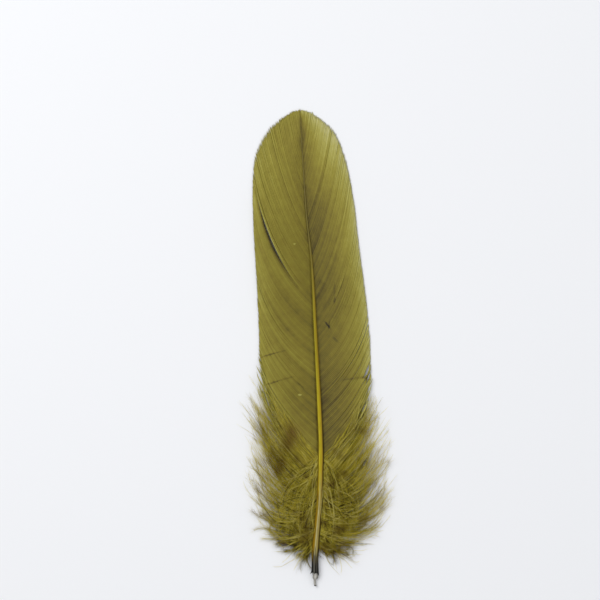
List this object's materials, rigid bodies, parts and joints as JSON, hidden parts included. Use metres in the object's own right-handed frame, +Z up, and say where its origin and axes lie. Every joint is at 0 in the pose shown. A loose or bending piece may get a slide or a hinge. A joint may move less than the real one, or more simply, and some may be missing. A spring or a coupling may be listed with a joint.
{
  "type": "goose quill feather",
  "caption": "Broad curved shoulder feather with a tapering quill, a closed vane on each side of the shaft and loose downy barbs at its foot, lying flat.",
  "frame": {"origin": "on the surface the feather lies on, under the middle of its box", "axes": "+Y from the quill end to the tip, +X to the right seen from above with the tip away, +Z up through the outer side"},
  "size_m": [0.0428, 0.145, 0.0054],
  "materials": {
    "quill": "satin",
    "vane": "matte",
    "down": "matte"
  },
  "bodies": {
    "root": {"shaft": "quill", "vane_left": "vane", "vane_right": "vane", "down_left": "down", "down_right": "down"}
  },
  "joints": []
}
